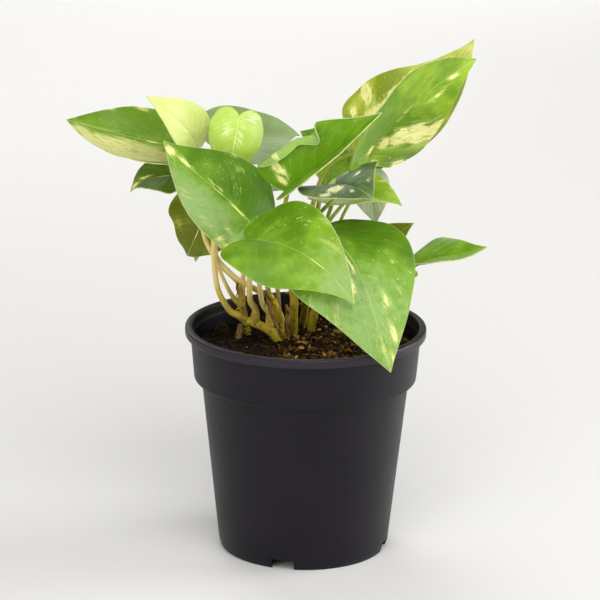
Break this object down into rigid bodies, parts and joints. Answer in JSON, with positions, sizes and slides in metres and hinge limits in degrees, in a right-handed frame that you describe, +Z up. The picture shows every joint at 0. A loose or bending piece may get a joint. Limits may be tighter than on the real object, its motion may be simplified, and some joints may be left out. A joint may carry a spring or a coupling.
{
  "type": "potted money plant",
  "caption": "Leafy money plant with heart-shaped variegated leaves on arching stalks, rooted in a black plastic nursery pot.",
  "frame": {"origin": "centre of the pot's underside, on the surface it stands on", "axes": "+Z up along the pot's axis, -Y toward the side seen in the picture, +X to the right in it"},
  "size_m": [0.2093, 0.1526, 0.2452],
  "materials": {
    "pot": "matte charcoal black, soft sheen",
    "soil": "rough, moist potting mix",
    "vine_left": "smooth stem, satin",
    "vine_centre": "smooth stem, satin",
    "vine_upright": "smooth stem, satin",
    "vine_right": "smooth stem, satin",
    "vine_back": "smooth stem, satin",
    "vine_far_left": "smooth stem, satin",
    "vine_far_right": "smooth stem, satin",
    "leaf_far_left": "waxy leaf, semi-gloss",
    "leaf_front_left": "waxy leaf, semi-gloss",
    "leaf_front": "waxy leaf, semi-gloss",
    "leaf_lime": "waxy leaf, semi-gloss",
    "leaf_low_left": "waxy leaf, semi-gloss",
    "leaf_back_left": "waxy leaf, semi-gloss",
    "leaf_rolled": "waxy leaf, semi-gloss",
    "leaf_behind_left": "waxy leaf, semi-gloss",
    "leaf_grey": "waxy leaf, semi-gloss",
    "leaf_front_right": "waxy leaf, semi-gloss",
    "leaf_right": "waxy leaf, semi-gloss",
    "leaf_hanging": "waxy leaf, semi-gloss",
    "leaf_upper_right": "waxy leaf, semi-gloss",
    "leaf_top_right": "waxy leaf, semi-gloss",
    "leaf_behind": "waxy leaf, semi-gloss",
    "leaf_back": "waxy leaf, semi-gloss",
    "leaf_upper_left": "waxy leaf, semi-gloss",
    "leaf_left": "waxy leaf, semi-gloss",
    "leaf_low_back_left": "waxy leaf, semi-gloss",
    "leaf_low_right": "waxy leaf, semi-gloss",
    "leaf_right_behind": "waxy leaf, semi-gloss",
    "leaf_low_back_right": "waxy leaf, semi-gloss"
  },
  "bodies": {
    "root": {"pot": "pot", "soil": "soil", "vine_left": "vine_left", "vine_centre": "vine_centre", "vine_upright": "vine_upright", "vine_right": "vine_right", "vine_back": "vine_back", "vine_far_left": "vine_far_left", "vine_far_right": "vine_far_right", "leaf_far_left": "leaf_far_left", "leaf_front_left": "leaf_front_left", "leaf_front": "leaf_front", "leaf_lime": "leaf_lime", "leaf_low_left": "leaf_low_left", "leaf_back_left": "leaf_back_left", "leaf_rolled": "leaf_rolled", "leaf_behind_left": "leaf_behind_left", "leaf_grey": "leaf_grey", "leaf_front_right": "leaf_front_right", "leaf_right": "leaf_right", "leaf_hanging": "leaf_hanging", "leaf_upper_right": "leaf_upper_right", "leaf_top_right": "leaf_top_right", "leaf_behind": "leaf_behind", "leaf_back": "leaf_back", "leaf_upper_left": "leaf_upper_left", "leaf_left": "leaf_left", "leaf_low_back_left": "leaf_low_back_left", "leaf_low_right": "leaf_low_right", "leaf_right_behind": "leaf_right_behind", "leaf_low_back_right": "leaf_low_back_right"}
  },
  "joints": []
}
